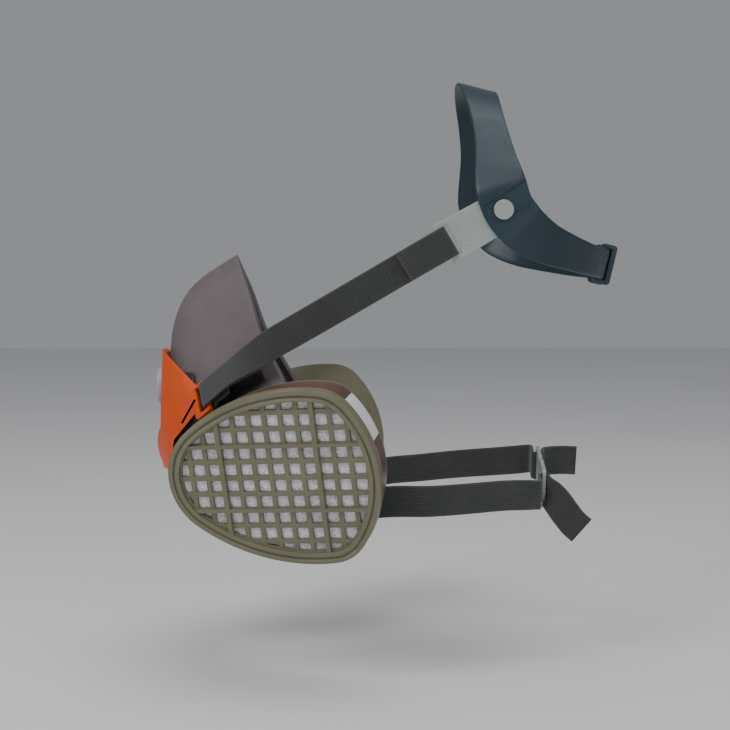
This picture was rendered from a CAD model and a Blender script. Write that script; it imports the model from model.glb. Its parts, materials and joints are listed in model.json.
"""Half-mask respirator with twin cartridges and a head harness: the finished look of the CAD model.

Row frame in metres: +X is the wearer's left, -Y is the front, +Z is up.
"""

import json
import math

import bmesh
import bpy
from mathutils import Matrix, Vector, noise


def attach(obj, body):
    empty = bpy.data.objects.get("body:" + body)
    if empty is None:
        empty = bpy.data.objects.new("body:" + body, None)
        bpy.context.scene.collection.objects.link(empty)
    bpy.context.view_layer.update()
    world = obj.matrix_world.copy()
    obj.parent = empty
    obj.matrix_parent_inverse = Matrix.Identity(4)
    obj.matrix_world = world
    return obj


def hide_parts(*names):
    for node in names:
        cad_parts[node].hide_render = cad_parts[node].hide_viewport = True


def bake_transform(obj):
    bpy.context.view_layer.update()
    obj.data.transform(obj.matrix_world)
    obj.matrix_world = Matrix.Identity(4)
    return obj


MM = 0.001
FLOOR_Z = -0.15  # clear of the cartridges when they are twisted
FLAT_STEPS = 12  # steps along each flat side of a band's section
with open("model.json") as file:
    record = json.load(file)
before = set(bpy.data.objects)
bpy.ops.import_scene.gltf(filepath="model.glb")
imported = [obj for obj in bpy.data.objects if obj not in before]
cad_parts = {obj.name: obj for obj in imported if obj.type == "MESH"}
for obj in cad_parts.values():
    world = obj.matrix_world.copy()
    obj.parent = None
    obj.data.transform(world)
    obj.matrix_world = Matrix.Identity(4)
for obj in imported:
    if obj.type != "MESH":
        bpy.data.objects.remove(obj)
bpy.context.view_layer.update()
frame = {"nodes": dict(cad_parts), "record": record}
nodes = frame["nodes"]
SIDES = (("left", 1), ("right", -1))
BODY_OF = {
    node: body
    for body, members in frame["record"]["behaviour"]["bodies"].items()
    for node in members
}
SLOT_OF = {row["node"]: row["material_slot"] for row in frame["record"]["subparts"]}


# ---------------------------------------------------------------- camera, light and floor
def make_camera():
    """The view of the photograph: level from the wearer's left side."""
    camera = bpy.data.objects.new("camera", bpy.data.cameras.new("camera"))
    bpy.context.scene.collection.objects.link(camera)
    camera.data.lens = 81.3
    distance = 0.9
    rise = math.radians(3)
    target = Vector((0, 0.045, 0.010))
    camera.location = target + Vector((math.cos(rise), 0, math.sin(rise))) * distance
    camera.rotation_euler = (target - camera.location).to_track_quat("-Z", "Y").to_euler()
    bpy.context.scene.camera = camera


def area_light(name, place, aim, size, power, tint=(1, 1, 1)):
    """A round soft light at a place, pointed at a target."""
    light = bpy.data.lights.new(name, "AREA")
    light.shape = "DISK"
    light.size = size
    light.energy = power
    light.color = tint
    lamp = bpy.data.objects.new(name, light)
    bpy.context.scene.collection.objects.link(lamp)
    lamp.location = place
    lamp.rotation_euler = (Vector(aim) - Vector(place)).to_track_quat("-Z", "Y").to_euler()


def make_world():
    """Even, faintly blue light from all round."""
    world = bpy.data.worlds.new("studio")
    world.use_nodes = True
    world.node_tree.nodes["Background"].inputs["Color"].default_value = (0.93, 0.95, 1, 1)
    world.node_tree.nodes["Background"].inputs["Strength"].default_value = 0.30
    bpy.context.scene.world = world


# ---------------------------------------------------------------- materials
class Shader:
    """A small helper round one material's node tree."""

    def __init__(self, name):
        self.material = bpy.data.materials.new(name)
        self.material.use_nodes = True
        self.tree = self.material.node_tree
        self.bsdf = self.tree.nodes["Principled BSDF"]
        self.place = self.tree.nodes.new("ShaderNodeTexCoord")

    def add(self, kind, **settings):
        node = self.tree.nodes.new(kind)
        for key, value in settings.items():
            setattr(node, key, value)
        return node

    def link(self, out, into):
        self.tree.links.new(out, into)

    def noise(self, scale, detail=3.0, rough=0.55):
        grain = self.add("ShaderNodeTexNoise")
        grain.inputs["Scale"].default_value = scale
        grain.inputs["Detail"].default_value = detail
        grain.inputs["Roughness"].default_value = rough
        self.link(self.place.outputs["Object"], grain.inputs["Vector"])
        return grain.outputs["Fac"]

    def ramp(self, value, stops):
        """A colour ramp through (position, colour) stops."""
        ramp = self.add("ShaderNodeValToRGB")
        points = ramp.color_ramp.elements
        points[0].position, points[0].color = stops[0][0], (*stops[0][1], 1)
        points[1].position, points[1].color = stops[-1][0], (*stops[-1][1], 1)
        for position, colour in stops[1:-1]:
            points.new(position).color = (*colour, 1)
        self.link(value, ramp.inputs["Fac"])
        return ramp.outputs["Color"]

    def span(self, value, low, high, start=0.0, end=1.0):
        """A value mapped from start..end to low..high."""
        node = self.add("ShaderNodeMapRange")
        for key, number in (("From Min", start), ("From Max", end), ("To Min", low), ("To Max", high)):
            node.inputs[key].default_value = number
        self.link(value, node.inputs["Value"])
        return node.outputs["Result"]

    def mix(self, factor, first, second):
        """Two colours mixed by a value; a colour may be a socket or three numbers."""
        node = self.add("ShaderNodeMix", data_type="RGBA")
        self.link(factor, node.inputs["Factor"])
        for key, colour in (("A", first), ("B", second)):
            socket = [s for s in node.inputs if s.name == key and s.type == "RGBA"][0]
            if isinstance(colour, tuple):
                socket.default_value = (*colour, 1)
            else:
                self.link(colour, socket)
        return [s for s in node.outputs if s.type == "RGBA"][0]

    def math(self, operation, first, second=None):
        node = self.add("ShaderNodeMath", operation=operation)
        for i, value in enumerate((first, second)):
            if isinstance(value, (int, float)):
                node.inputs[i].default_value = value
            elif value is not None:
                self.link(value, node.inputs[i])
        return node.outputs[0]

    def bump(self, height, depth, strength=1.0, normal=None):
        node = self.add("ShaderNodeBump")
        node.inputs["Distance"].default_value = depth
        node.inputs["Strength"].default_value = strength
        self.link(height, node.inputs["Height"])
        if normal is not None:
            self.link(normal, node.inputs["Normal"])
        return node.outputs["Normal"]

    def finish(self, colour, rough, normal, **values):
        self.link(colour, self.bsdf.inputs["Base Color"])
        self.link(rough, self.bsdf.inputs["Roughness"])
        self.link(normal, self.bsdf.inputs["Normal"])
        for key, value in values.items():
            self.bsdf.inputs[key.replace("_", " ")].default_value = value
        return self.material


def scaled(colour, factor):
    return tuple(min(1.0, part * factor) for part in colour)


def moulded(
    name, colour, rough=(0.35, 0.5), spread=0.12, pits=0.00004, worn=1.25, edge=0.35, spots=0.25, **values
):
    """Moulded plastic or rubber: mottled tone, fine surface texture and slightly worn edges.

    pits is the depth of the finest texture in metres, and 0 leaves the coarse texture out too.
    """
    shader = Shader(name)
    broad = shader.noise(38, 4)
    tone = shader.ramp(broad, ((0.3, scaled(colour, 1 - spread)), (0.7, scaled(colour, 1 + spread))))
    geometry = shader.add("ShaderNodeNewGeometry")
    corner = shader.span(geometry.outputs["Pointiness"], 0, edge, 0.52, 0.62)
    tone = shader.mix(corner, tone, scaled(colour, worn))
    specks = shader.span(shader.noise(900, 2), 0, spots, 0.62, 0.8)
    tone = shader.mix(specks, tone, scaled(colour, 0.75))
    dull = shader.span(shader.noise(120, 5, 0.7), rough[0], rough[1], 0.3, 0.7)
    coarse = shader.bump(shader.noise(160, 3), 0.00006 if pits else 0.0, 0.5)
    return shader.finish(tone, dull, shader.bump(shader.noise(2600, 3, 0.6), pits, 0.6, coarse), **values)


def fibres(name, light, dark, scale, depth, **values):
    """Matted fibres: layered noise stretched into strands, with darker hollows."""
    shader = Shader(name)
    strand = shader.add("ShaderNodeTexNoise")
    strand.inputs["Scale"].default_value = scale
    strand.inputs["Detail"].default_value = 6
    strand.inputs["Roughness"].default_value = 0.75
    strand.inputs["Distortion"].default_value = 1.6
    shader.link(shader.place.outputs["Object"], strand.inputs["Vector"])
    cells = shader.add("ShaderNodeTexVoronoi")
    cells.inputs["Scale"].default_value = scale * 1.3
    shader.link(shader.place.outputs["Object"], cells.inputs["Vector"])
    height = shader.math("ADD", strand.outputs["Fac"], cells.outputs["Distance"])
    tone = shader.ramp(height, ((0.55, dark), (0.8, scaled(light, 0.85)), (1.0, light)))
    dull = shader.span(strand.outputs["Fac"], 0.85, 1.0)
    return shader.finish(tone, dull, shader.bump(height, depth), **values)


def woven(name, colour):
    """Ribbed elastic webbing, from UVs in metres: ribs along it, picks across, lighter edges."""
    rib_pitch = 0.00115
    pick_pitch = 0.0009
    edge_start, edge_end = 0.0066, 0.0076  # distances from the middle
    shader = Shader(name)
    split = shader.add("ShaderNodeSeparateXYZ")
    shader.link(shader.place.outputs["UV"], split.inputs[0])
    along, across = split.outputs["X"], split.outputs["Y"]
    rib = shader.math("SINE", shader.math("MULTIPLY", across, 2 * math.pi / rib_pitch))
    offset = shader.math("MULTIPLY", rib, 0.9)
    picks = shader.math("ADD", shader.math("MULTIPLY", along, 2 * math.pi / pick_pitch), offset)
    weave = shader.math("SINE", picks)
    height = shader.math("ADD", rib, shader.math("MULTIPLY", weave, 0.6))
    groove = shader.span(height, 0, 1, -1.4, 1.3)
    cloth = shader.ramp(groove, ((0, scaled(colour, 0.35)), (0.55, colour), (1, scaled(colour, 1.7))))
    wear = shader.span(shader.noise(70, 5, 0.65), 0, 0.3, 0.45, 0.75)
    cloth = shader.mix(wear, cloth, scaled(colour, 1.9))
    edge = shader.math("ABSOLUTE", across)
    rim = shader.span(edge, 0, 0.5, edge_start, edge_end)
    cloth = shader.mix(rim, cloth, scaled(colour, 2.0))
    dull = shader.span(shader.noise(400, 2), 0.75, 0.95)
    fuzz = shader.bump(shader.noise(3200, 2), 0.00008, 0.5)
    values = {"Sheen_Weight": 0.25, "Sheen_Roughness": 0.5}
    return shader.finish(cloth, dull, shader.bump(groove, 0.00022, 1.0, fuzz), **values)


def granules(name):
    """Loose activated carbon."""
    shader = Shader(name)
    cells = shader.add("ShaderNodeTexVoronoi")
    cells.inputs["Scale"].default_value = 850
    shader.link(shader.place.outputs["Object"], cells.inputs["Vector"])
    stops = ((0.1, (0.035, 0.035, 0.038)), (0.6, (0.004, 0.004, 0.004)))
    tone = shader.ramp(cells.outputs["Distance"], stops)
    dull = shader.span(shader.noise(300), 0.55, 0.85)
    return shader.finish(tone, dull, shader.bump(cells.outputs["Distance"], -0.0004))


milky = {"Transmission_Weight": 0.4, "IOR": 1.4}
rubbery = {"Specular_IOR_Level": 0.35}
MATERIALS = {
    "silicone": moulded(
        "silicone", (0.135, 0.112, 0.121), (0.5, 0.68), 0.1, 0.00003, 1.35, 0.5,
        Subsurface_Weight=0.08, Subsurface_Scale=0.003, **rubbery,
    ),
    "black_plastic": moulded("black_plastic", (0.012, 0.012, 0.013), (0.38, 0.55), 0.2),
    "orange_plastic": moulded("orange_plastic", (0.62, 0.068, 0.0), (0.38, 0.52), 0.08, worn=1.35),
    "badge_grey": moulded("badge_grey", (0.42, 0.40, 0.47), (0.3, 0.42), 0.06),
    "gasket_rubber": moulded("gasket_rubber", (0.02, 0.02, 0.02), (0.6, 0.75), 0.15, **rubbery),
    "flap_silicone": moulded("flap_silicone", (0.55, 0.5, 0.4), (0.4, 0.55), 0.06, **rubbery),
    "olive_plastic": moulded("olive_plastic", (0.155, 0.145, 0.092), (0.3, 0.44), 0.09, worn=1.5, edge=0.5),
    "felt": fibres("felt", (0.75, 0.75, 0.72), (0.45, 0.45, 0.43), 500, 0.0003),
    "carbon": granules("carbon"),
    "nonwoven": fibres("nonwoven", (0.88, 0.86, 0.90), (0.50, 0.47, 0.53), 620, 0.0005),
    "label_brown": moulded("label_brown", (0.10, 0.042, 0.026), (0.3, 0.4), 0.1),
    "label_white": moulded("label_white", (0.72, 0.72, 0.69), (0.3, 0.42), 0.05),
    "webbing": woven("webbing", (0.030, 0.032, 0.032)),
    "clear_plastic": moulded(
        "clear_plastic", (0.50, 0.55, 0.53), (0.24, 0.34), 0.04, 0.0, edge=0.0, spots=0.04, **milky
    ),
    "teal_plastic": moulded("teal_plastic", (0.008, 0.028, 0.042), (0.34, 0.48), 0.12, worn=2.2, edge=0.4),
}


# ---------------------------------------------------------------- pieces made from CAD solids
def declare(obj, slot_name, *replaced):
    """Gives a piece its material and slot, and the CAD nodes that it stands for."""
    obj.data.materials.clear()
    obj.data.materials.append(MATERIALS[slot_name])
    if replaced:
        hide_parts(*replaced)


def new_piece(name, mesh):
    obj = bpy.data.objects.new(name, mesh)
    bpy.context.scene.collection.objects.link(obj)
    return obj


def settle(obj):
    """Turns an object's modifiers into plain mesh."""
    bpy.context.view_layer.update()
    ready = obj.evaluated_get(bpy.context.evaluated_depsgraph_get())
    mesh = bpy.data.meshes.new_from_object(ready)
    obj.modifiers.clear()
    obj.data = mesh
    return obj


def smooth(mesh, angle=35.0):
    """Smooth shading that keeps edges sharper than the angle."""
    mesh.shade_smooth()
    work = bmesh.new()
    work.from_mesh(mesh)
    limit = math.radians(angle)
    for edge in work.edges:
        edge.smooth = len(edge.link_faces) == 2 and edge.calc_face_angle(0) < limit
    work.to_mesh(mesh)
    work.free()


def copied(name, node, merge=2e-6):
    """A welded copy of a CAD node's mesh, with its flat faces made whole again."""
    mesh = nodes[node].data.copy()
    work = bmesh.new()
    work.from_mesh(mesh)
    bmesh.ops.remove_doubles(work, verts=work.verts, dist=merge)
    bmesh.ops.dissolve_limit(work, angle_limit=math.radians(1.0), verts=work.verts, edges=work.edges)
    work.to_mesh(mesh)
    work.free()
    obj = new_piece(name, mesh)
    obj.matrix_world = nodes[node].matrix_world.copy()
    return obj


def bevelled(node, width, name, segments=2, angle=35):
    """A copy of a hard CAD piece with small rounded edges."""
    obj = copied(name, node)
    bevel = obj.modifiers.new("edges", "BEVEL")
    bevel.width = width
    bevel.segments = segments
    bevel.limit_method = "ANGLE"
    bevel.angle_limit = math.radians(angle)
    bevel.harden_normals = False
    settle(obj)
    smooth(obj.data)
    declare(obj, SLOT_OF[node], node)
    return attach(obj, BODY_OF[node])


def softened(node, name, voxel, rounds, rough=0.0, grain=120.0):
    """A remeshed copy with melted edges, roughened by noise for fibre pads."""
    obj = copied(name, node)
    remesh = obj.modifiers.new("remesh", "REMESH")
    remesh.mode = "VOXEL"
    remesh.voxel_size = voxel
    relax = obj.modifiers.new("relax", "SMOOTH")
    relax.factor = 0.5
    relax.iterations = rounds
    settle(obj)
    if rough:
        starts = [vertex.co.copy() for vertex in obj.data.vertices]
        ways = [corner.vector.copy() for corner in obj.data.vertex_normals]
        for vertex, start, way in zip(obj.data.vertices, starts, ways):
            vertex.co = start + way * (noise.noise(start * grain) - 0.5) * rough
    obj.data.shade_smooth()
    declare(obj, SLOT_OF[node], node)
    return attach(obj, BODY_OF[node])


# ---------------------------------------------------------------- ribbons
def mm(*point):
    return Vector(point) * MM


def curve_through(points, t):
    """Catmull-Rom point on a list of vectors at parameter t, with its end points doubled."""
    i = min(int(t), len(points) - 2)
    u = t - i
    a = points[max(i - 1, 0)]
    b, c = points[i], points[i + 1]
    d = points[min(i + 2, len(points) - 1)]
    return 0.5 * (2 * b + (c - a) * u + (2 * a - 5 * b + 4 * c - d) * u**2 + (3 * b - a - 3 * c + d) * u**3)


def rounded_section(half, thick, corner, steps=4):
    """Closed outline of a flat band's section, as (across, out) pairs."""
    outline = []
    for turn, (sx, sy) in enumerate(((1, 1), (-1, 1), (-1, -1), (1, -1))):
        for step in range(steps + 1):
            angle = math.pi / 2 * (turn + step / steps)
            reach = corner * math.cos(angle), corner * math.sin(angle)
            outline.append((sx * (half - corner) + reach[0], sy * (thick / 2 - corner) + reach[1]))
    flat = []
    for i, point in enumerate(outline):
        flat.append(point)
        after = outline[(i + 1) % len(outline)]
        gap = after[0] - point[0]
        cuts = FLAT_STEPS if abs(gap) > 4 * MM else 1
        for cut in range(1, cuts):
            flat.append((point[0] + gap * cut / cuts, point[1]))
    return flat


def ribbon_mesh(name, stations, thick, spacing=0.8 * MM, corner=0.5 * MM):
    """A smooth band through stations of (centre, width direction, width), with UVs in metres."""
    centres = [s[0] for s in stations]
    widths = [Vector((s[2], 0, 0)) for s in stations]
    last = len(stations) - 1
    chords = [centres[min(i + 1, last)] - centres[max(i - 1, 0)] for i in range(last + 1)]
    directions = [upright(s[1], chord.normalized()) for s, chord in zip(stations, chords)]
    path = []
    for i in range(len(stations) - 1):
        steps = max(2, int((centres[i + 1] - centres[i]).length / spacing))
        path += [i + k / steps for k in range(steps)]
    path.append(len(stations) - 1)
    middles = [curve_through(centres, t) for t in path]
    verts, uvs, run = [], [], 0.0
    for j, t in enumerate(path):
        tangent = (middles[min(j + 1, len(path) - 1)] - middles[max(j - 1, 0)]).normalized()
        across = curve_through(directions, t).normalized()
        out = across.cross(tangent).normalized()
        if j:
            run += (middles[j] - middles[j - 1]).length
        for side, high in rounded_section(curve_through(widths, t).x / 2, thick, corner):
            verts.append(middles[j] + across * side + out * high)
            uvs.append((run, side))
    ring = len(verts) // len(path)
    faces = [
        (j * ring + i, j * ring + (i + 1) % ring, (j + 1) * ring + (i + 1) % ring, (j + 1) * ring + i)
        for j in range(len(path) - 1)
        for i in range(ring)
    ]
    faces.append(tuple(reversed(range(ring))))
    faces.append(tuple((len(path) - 1) * ring + i for i in range(ring)))
    mesh = bpy.data.meshes.new(name)
    mesh.from_pydata(verts, [], faces)
    layer = mesh.uv_layers.new(name="band")
    for loop in mesh.loops:
        layer.data[loop.index].uv = uvs[loop.vertex_index]
    work = bmesh.new()
    work.from_mesh(mesh)
    bmesh.ops.recalc_face_normals(work, faces=work.faces)
    work.to_mesh(mesh)
    work.free()
    smooth(mesh, 50)
    return mesh


# ---------------------------------------------------------------- harness webbing
WEB = 16 * MM
WEB_THICK = 1.5 * MM
FOLD_R = 2.6 * MM
SLOPE = math.radians(30)
CLASP_TILT = math.radians(15.25)
UPPER_LOOP = mm(38.4, -40.4, -6.5)
UPPER_PULL = Vector((0.342, 0.726, 0.595)).normalized()
LOWER_LOOP = mm(44.5, 2.8, -62.0)
LOWER_PULL = Vector((0.357, 0.931, 0.075)).normalized()
TAB_X = 76.4 * MM
BUTTON = mm(0, 113.7, 91.2)
LOOP_SHIFT = 4 * MM


def upright(direction, pull):
    """The part of a direction square to the pull."""
    return (direction - pull * direction.dot(pull)).normalized()


def half_turn(bar, pull, out, across):
    """Stations round a bar, from the leg under it to the leg over it."""
    turn = []
    for step in range(9):
        angle = math.radians(-90 + 22.5 * step)
        turn.append((bar - pull * (FOLD_R * math.cos(angle)) + out * (FOLD_R * math.sin(angle)), across, WEB))
    return turn


def anchored(loop, pull, across):
    """Stations of the sewn end, the turn round a loop's bar and the start of the run."""
    bar = loop + pull * LOOP_SHIFT
    out = pull.cross(across)
    sewn = WEB_THICK - FOLD_R - 0.05 * MM
    steps = ((13.5, sewn), (8.5, sewn), (4.5, -1.0 * MM), (2.5, -FOLD_R + 0.1 * MM))
    run = [(bar + pull * (along * MM) + out * inward, across, WEB) for along, inward in steps]
    run += half_turn(bar, pull, out, across)
    run += [(bar + out * FOLD_R + pull * (reach * MM), across, WEB) for reach in (5, 20)]
    return run


def mirrored(stations, side):
    """Stations for the left when side is 1, or their mirror image when it is -1."""
    flip = Vector((side, 1, 1))
    return [(point * flip, across * flip, width) for point, across, width in stations]


def make_upper_strap(label, side):
    """One upper strap: sewn round the yoke's loop, up past the eye, round the tab and folded forward."""
    flat = Vector((0, -0.5, 0.86))
    forward = Vector((0, -math.cos(SLOPE), -math.sin(SLOPE)))
    route = anchored(UPPER_LOOP, UPPER_PULL, upright(Vector((-0.68, -0.20, 0.68)), UPPER_PULL))
    route += [
        (mm(53, -5, 22.2), Vector((-0.30, -0.47, 0.83)), WEB),
        (mm(59, 10, 31.0), Vector((-0.10, -0.5, 0.86)), WEB),
        (mm(66, 29.9, 42.5), flat, WEB),
        (mm(71, 52, 55.4), flat, WEB),
        (Vector((TAB_X - FOLD_R, BUTTON.y, BUTTON.z)) + forward * 45 * MM, flat, WEB),
    ]
    bar = Vector((TAB_X, BUTTON.y, BUTTON.z)) + forward * (31.4 + 1.55) * MM
    route += half_turn(bar, forward, Vector((1, 0, 0)), flat)
    outer = bar + Vector((FOLD_R, 0, 0))
    for reach, lift, lean in ((5, 0, 0), (12, -0.1, 0), (18, 0.2, 0.05), (22, 1.0, 0.14), (24, 1.9, 0.2)):
        route.append((outer + forward * (reach * MM) + mm(lift, 0, 0), flat + forward * lean, WEB))
    obj = new_piece("upper_webbing_" + label, ribbon_mesh("upper_webbing", mirrored(route, side), WEB_THICK))
    declare(obj, "webbing", "upper_strap_" + label, "upper_strap_tail_" + label)
    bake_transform(obj)


def make_lower_strap(label, side, heights, tail):
    """One neck strap: sewn round the frame's loop, round the neck, through the clasp and loose."""
    across = upright(Vector((0.35, -0.20, 0.90)), LOWER_PULL)
    route = anchored(LOWER_LOOP, LOWER_PULL, across)
    bends = ((62, 55.2), (59.5, 78.3), (52.5, 98), (42, 117), (33.2, 130), (29, 136))
    route += [(mm(x, y, z), Vector((0, 0, 1)), WEB) for (x, y), z in zip(bends, heights)]
    route = mirrored(route, side)
    lean = Vector((math.sin(CLASP_TILT), 0, math.cos(CLASP_TILT)))
    along = Vector((math.cos(CLASP_TILT), 0, -math.sin(CLASP_TILT))) * side
    bar = mm(0, 141, -51) + along * 18 * MM
    back = Vector((0, 1, 0))
    route[-1] = (route[-1][0], lean, WEB)
    route.append((bar + along * 8 * MM - back * FOLD_R, lean, WEB))
    route += half_turn(bar, along, back, lean)
    route.append((bar + back * FOLD_R + along * MM, lean, WEB))
    route += [(mm(*point), Vector(width), WEB) for point, width in tail]
    obj = new_piece("neck_webbing_" + label, ribbon_mesh("neck_webbing", route, WEB_THICK))
    declare(obj, "webbing", "lower_strap_" + label, "lower_strap_tail_" + label)
    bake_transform(obj)


# ---------------------------------------------------------------- head cradle
def make_cradle():
    """The cradle as one smooth band with rounded edges, holes for the studs and side panels."""
    band_x = TAB_X + (0.9 + 0.6 + 1.0) * MM
    level = (0, 0.23, 0.97)
    half = [
        (mm(0.5, 174.2, 64.8), level, 16),
        (mm(12.5, 173.9, 64.8), level, 16),
        (mm(26, 169.6, 65.4), level, 16),
        (mm(42, 161, 67.1), (-0.1, 0.28, 0.96), 16.6),
        (mm(58, 149, 70.4), (-0.1, 0.35, 0.93), 18.4),
        (mm(69.5, 137.5, 74.3), (-0.1, 0.45, 0.89), 21.0),
        (mm(75.8, 128, 79.4), (0, 0.57, 0.82), 23.7),
        (mm(band_x / MM, 122, 84.2), (0, 0.72, 0.69), 25),
        (mm(band_x / MM, 116, 92.2), (0, 0.82, 0.57), 25.5),
        (mm(band_x / MM, 112.6, 102), (0, 0.87, 0.49), 25.5),
        (mm(75.5, 111.4, 109), (0, 0.93, 0.34), 23.8),
        (mm(69, 110.3, 118), (0, 0.97, 0.2), 20.5),
        (mm(60, 109, 129.5), (0.1, 0.99, 0.08), 17.5),
        (mm(48, 107, 142.5), (0.15, 0.97, -0.15), 17),
        (mm(32, 105.2, 153), (0.1, 0.97, -0.2), 19),
        (mm(16, 104.3, 157.6), (0, 0.97, -0.24), 20.2),
    ]
    left = [(point, Vector(across), width * MM) for point, across, width in half]
    crown = [(mm(0, 104, 158.8), Vector((0, 0.97, -0.24)), 20.8 * MM)]
    stations = left + crown + list(reversed(mirrored(left, -1)))
    obj = new_piece("cradle_band", ribbon_mesh("cradle_band", stations, 2 * MM, 1.2 * MM, 0.8 * MM))
    cutters = []
    for _, side in SIDES:
        for kind in ("hole", "panel"):
            work = bmesh.new()
            place = Matrix.Translation(Vector((band_x * side, BUTTON.y, BUTTON.z)))
            if kind == "hole":
                bmesh.ops.create_cone(
                    work, cap_ends=True, segments=48, radius1=3.3 * MM, radius2=3.3 * MM,
                    depth=12 * MM, matrix=place @ Matrix.Rotation(math.pi / 2, 4, "Y"),
                )
            else:
                place = place @ Matrix.Rotation(math.radians(33), 4, "X")
                place = place @ Matrix.Translation(mm(1.1 * side, 7.5, 1.2))
                size = Matrix.Diagonal((1.2 * MM, 30 * MM, 11.4 * MM, 1))
                bmesh.ops.create_cube(work, size=1, matrix=place @ size)
            mesh = bpy.data.meshes.new("cut")
            work.to_mesh(mesh)
            work.free()
            cutter = new_piece("cut", mesh)
            cutters.append(cutter)
            cut = obj.modifiers.new("cut", "BOOLEAN")
            cut.operation = "DIFFERENCE"
            cut.object = cutter
            cut.solver = "MANIFOLD"
    settle(obj)
    for cutter in cutters:
        bpy.data.objects.remove(cutter)
    smooth(obj.data, 40)
    declare(obj, "teal_plastic", "head_cradle")
    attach(obj, "cradle")


# ---------------------------------------------------------------- the scene
make_camera()
make_world()
area_light("key", (1.1, -0.75, 1.15), (0, 0.03, 0), 0.9, 15, (1, 0.98, 0.95))
area_light("side", (1.5, 0.9, 0.35), (0, 0.05, 0), 1.1, 4.5, (0.95, 0.97, 1))
area_light("top", (0.1, 0.2, 1.5), (0, 0.05, 0), 1.2, 8)

floor_mesh = bpy.data.meshes.new("floor")
floor_mesh.from_pydata([(-4, -4, 0), (4, -4, 0), (4, 4, 0), (-4, 4, 0)], [], [(0, 1, 2, 3)])
floor = new_piece("floor", floor_mesh)
floor.location = (0, 0, FLOOR_Z)
floor_look = Shader("floor")
floor_tone = floor_look.ramp(floor_look.noise(3), ((0.3, (0.80, 0.80, 0.80)), (0.7, (0.84, 0.84, 0.84))))
floor_dull = floor_look.span(floor_look.noise(20), 0.7, 0.85)
floor_look.finish(floor_tone, floor_dull, floor_look.bump(floor_look.noise(900), 0.0001))
floor.data.materials.append(floor_look.material)

softened("facepiece", "facepiece_skin", 0.7 * MM, 6)
bevelled("front_frame", 0.35 * MM, "frame_shell")
bevelled("harness_yoke", 0.6 * MM, "yoke_shell", 3)
bevelled("exhalation_cover", 0.35 * MM, "valve_cover")
bevelled("front_badge", 0.35 * MM, "badge")
bevelled("exhalation_valve_seat", 0.2 * MM, "valve_seat")
bevelled("rear_clip", 0.4 * MM, "clip")
bevelled("clasp_hook", 0.3 * MM, "hook_plate")
bevelled("clasp_loop", 0.3 * MM, "slot_plate")
make_cradle()
for label, side in SIDES:
    bevelled("cartridge_case_" + label, 0.3 * MM, "case_" + label)
    bevelled("cartridge_grille_" + label, 0.3 * MM, "grille_" + label)
    bevelled("bayonet_port_" + label, 0.3 * MM, "port_" + label)
    bevelled("bayonet_collar_" + label, 0.25 * MM, "collar_" + label)
    bevelled("buckle_tab_" + label, 0.3 * MM, "tab_" + label)
    softened("prefilter_" + label, "prefilter_pad_" + label, 0.8 * MM, 3, 0.35 * MM, 420)
    softened("retention_felt_" + label, "felt_pad_" + label, 0.7 * MM, 2, 0.15 * MM, 300)
    softened("carbon_bed_" + label, "carbon_fill_" + label, 1.4 * MM, 2, 0.5 * MM, 420)
    make_upper_strap(label, side)

make_lower_strap(
    "left", 1, (-56.8, -56.8, -56.4, -56.2, -57.0, -57.6),
    (
        ((21.5, 145.2, -58.5), (0, 0.2, 0.98)),
        ((24, 148.5, -63), (0, 0.5, 0.86)),
        ((25, 152, -68), (0, 0.7, 0.7)),
        ((25.3, 156, -73), (0, 0.68, 0.73)),
        ((25.5, 160.5, -77), (0, 0.68, 0.73)),
    ),
)
make_lower_strap(
    "right", -1, (-55.6, -53.0, -50.2, -47.6, -45.6, -44.5),
    (
        ((-21.5, 145.5, -45.2), (0, 0, 1)),
        ((-24.5, 149.5, -45), (0, 0, 1)),
        ((-27, 156, -45), (0, 0, 1)),
        ((-30, 164, -45.6), (0, 0, 1)),
    ),
)

# the CAD nodes that still show keep their own meshes
for node, obj in nodes.items():
    if not obj.hide_render:
        obj.data.materials.clear()
        obj.data.materials.append(MATERIALS[SLOT_OF[node]])
